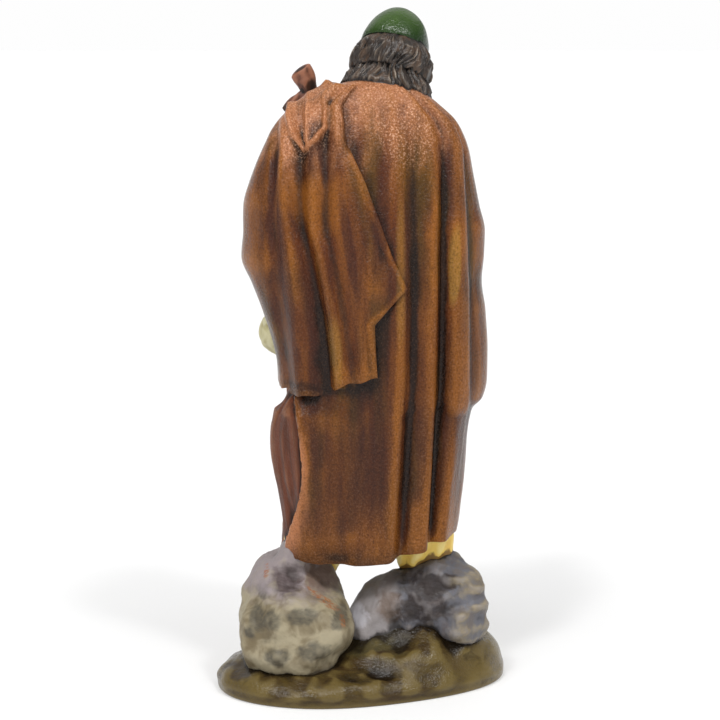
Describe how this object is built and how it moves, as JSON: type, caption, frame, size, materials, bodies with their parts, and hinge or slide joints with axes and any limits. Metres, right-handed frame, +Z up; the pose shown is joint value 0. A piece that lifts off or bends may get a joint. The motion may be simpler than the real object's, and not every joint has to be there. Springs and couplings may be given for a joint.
{
  "type": "nativity shepherd figurine",
  "caption": "Painted cast figurine of a bearded shepherd in a long rust-brown cloak and green cap, holding a knobby branch as a staff, standing between boulders on an oval plinth.",
  "frame": {"origin": "middle of the flat underside of the plinth, where the figurine stands; all of it lies above z = 0", "axes": "+Z up through the head; the shepherd faces -Y, so the cloaked back looks to +Y; +X is the shepherd's left, the side of the staff"},
  "size_m": [0.0876, 0.0676, 0.2004],
  "materials": {
    "painted_resin": "hand-painted and varnished, semi-gloss"
  },
  "bodies": {
    "root": {"shepherd_figurine": "painted_resin"}
  },
  "joints": []
}
